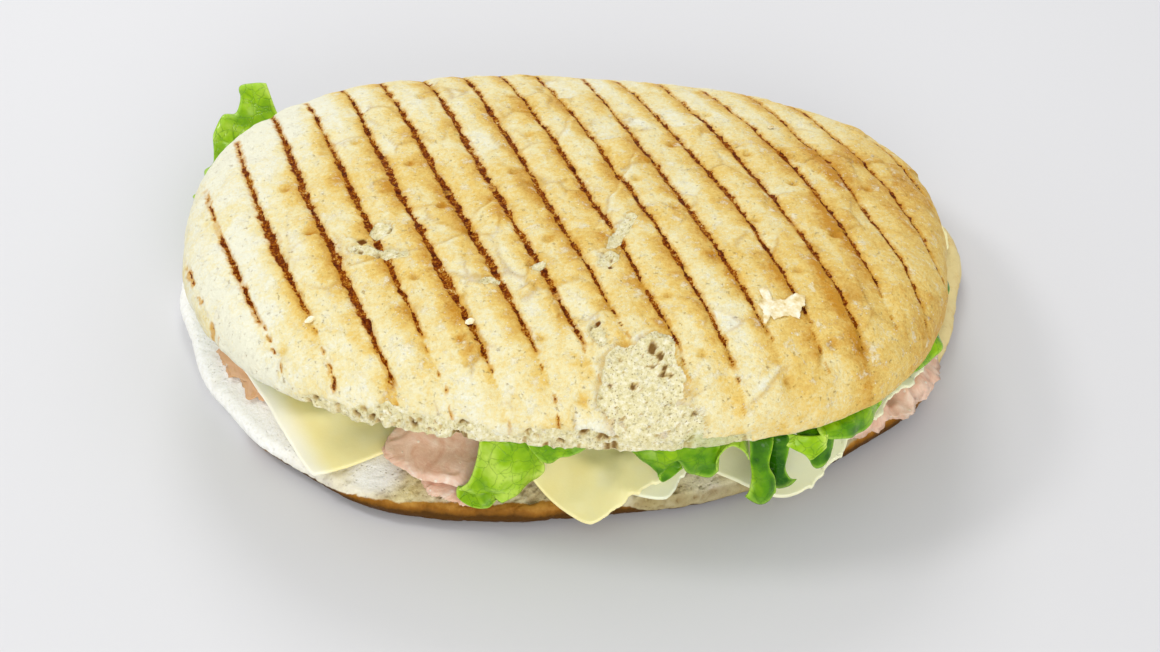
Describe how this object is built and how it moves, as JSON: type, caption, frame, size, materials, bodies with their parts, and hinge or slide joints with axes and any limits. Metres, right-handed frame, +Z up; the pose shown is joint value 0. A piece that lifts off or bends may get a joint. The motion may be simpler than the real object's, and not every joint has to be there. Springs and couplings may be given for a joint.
{
  "type": "grilled panini sandwich",
  "caption": "Oval grilled panini with slanting grill marks across its domed lid, and folded ham, sliced cheese and frilly lettuce showing round the edge of its lower half.",
  "frame": {"origin": "Centre of the bounding box's base, on the plane that the underside rests on.", "axes": "+X along the roll towards its right end, seen from the front, where the cheese and lettuce hang out furthest; +Y from that front to the back; +Z up."},
  "size_m": [0.2396, 0.1785, 0.0608],
  "materials": {
    "crust": "dull baked crust",
    "crumb": "dull porous crumb",
    "ham": "moist",
    "cheese": "satin",
    "lettuce": "moist and waxy"
  },
  "bodies": {
    "root": {"bread_bottom": "crumb", "bread_top": "crust", "ham_centre": "ham", "ham_left": "ham", "ham_right": "ham", "ham_lower": "ham", "cheese_left": "cheese", "cheese_right": "cheese", "cheese_middle": "cheese", "cheese_end": "cheese", "ham_folded": "ham", "cheese_front": "cheese", "lettuce_inner": "lettuce", "lettuce_left": "lettuce", "lettuce_frill": "lettuce", "lettuce_middle": "lettuce", "lettuce_arch": "lettuce", "lettuce_right": "lettuce", "lettuce_lobe": "lettuce", "lettuce_tongue": "lettuce", "lettuce_corner": "lettuce", "lettuce_end": "lettuce", "lettuce_side": "lettuce", "lettuce_back": "lettuce"}
  },
  "joints": []
}
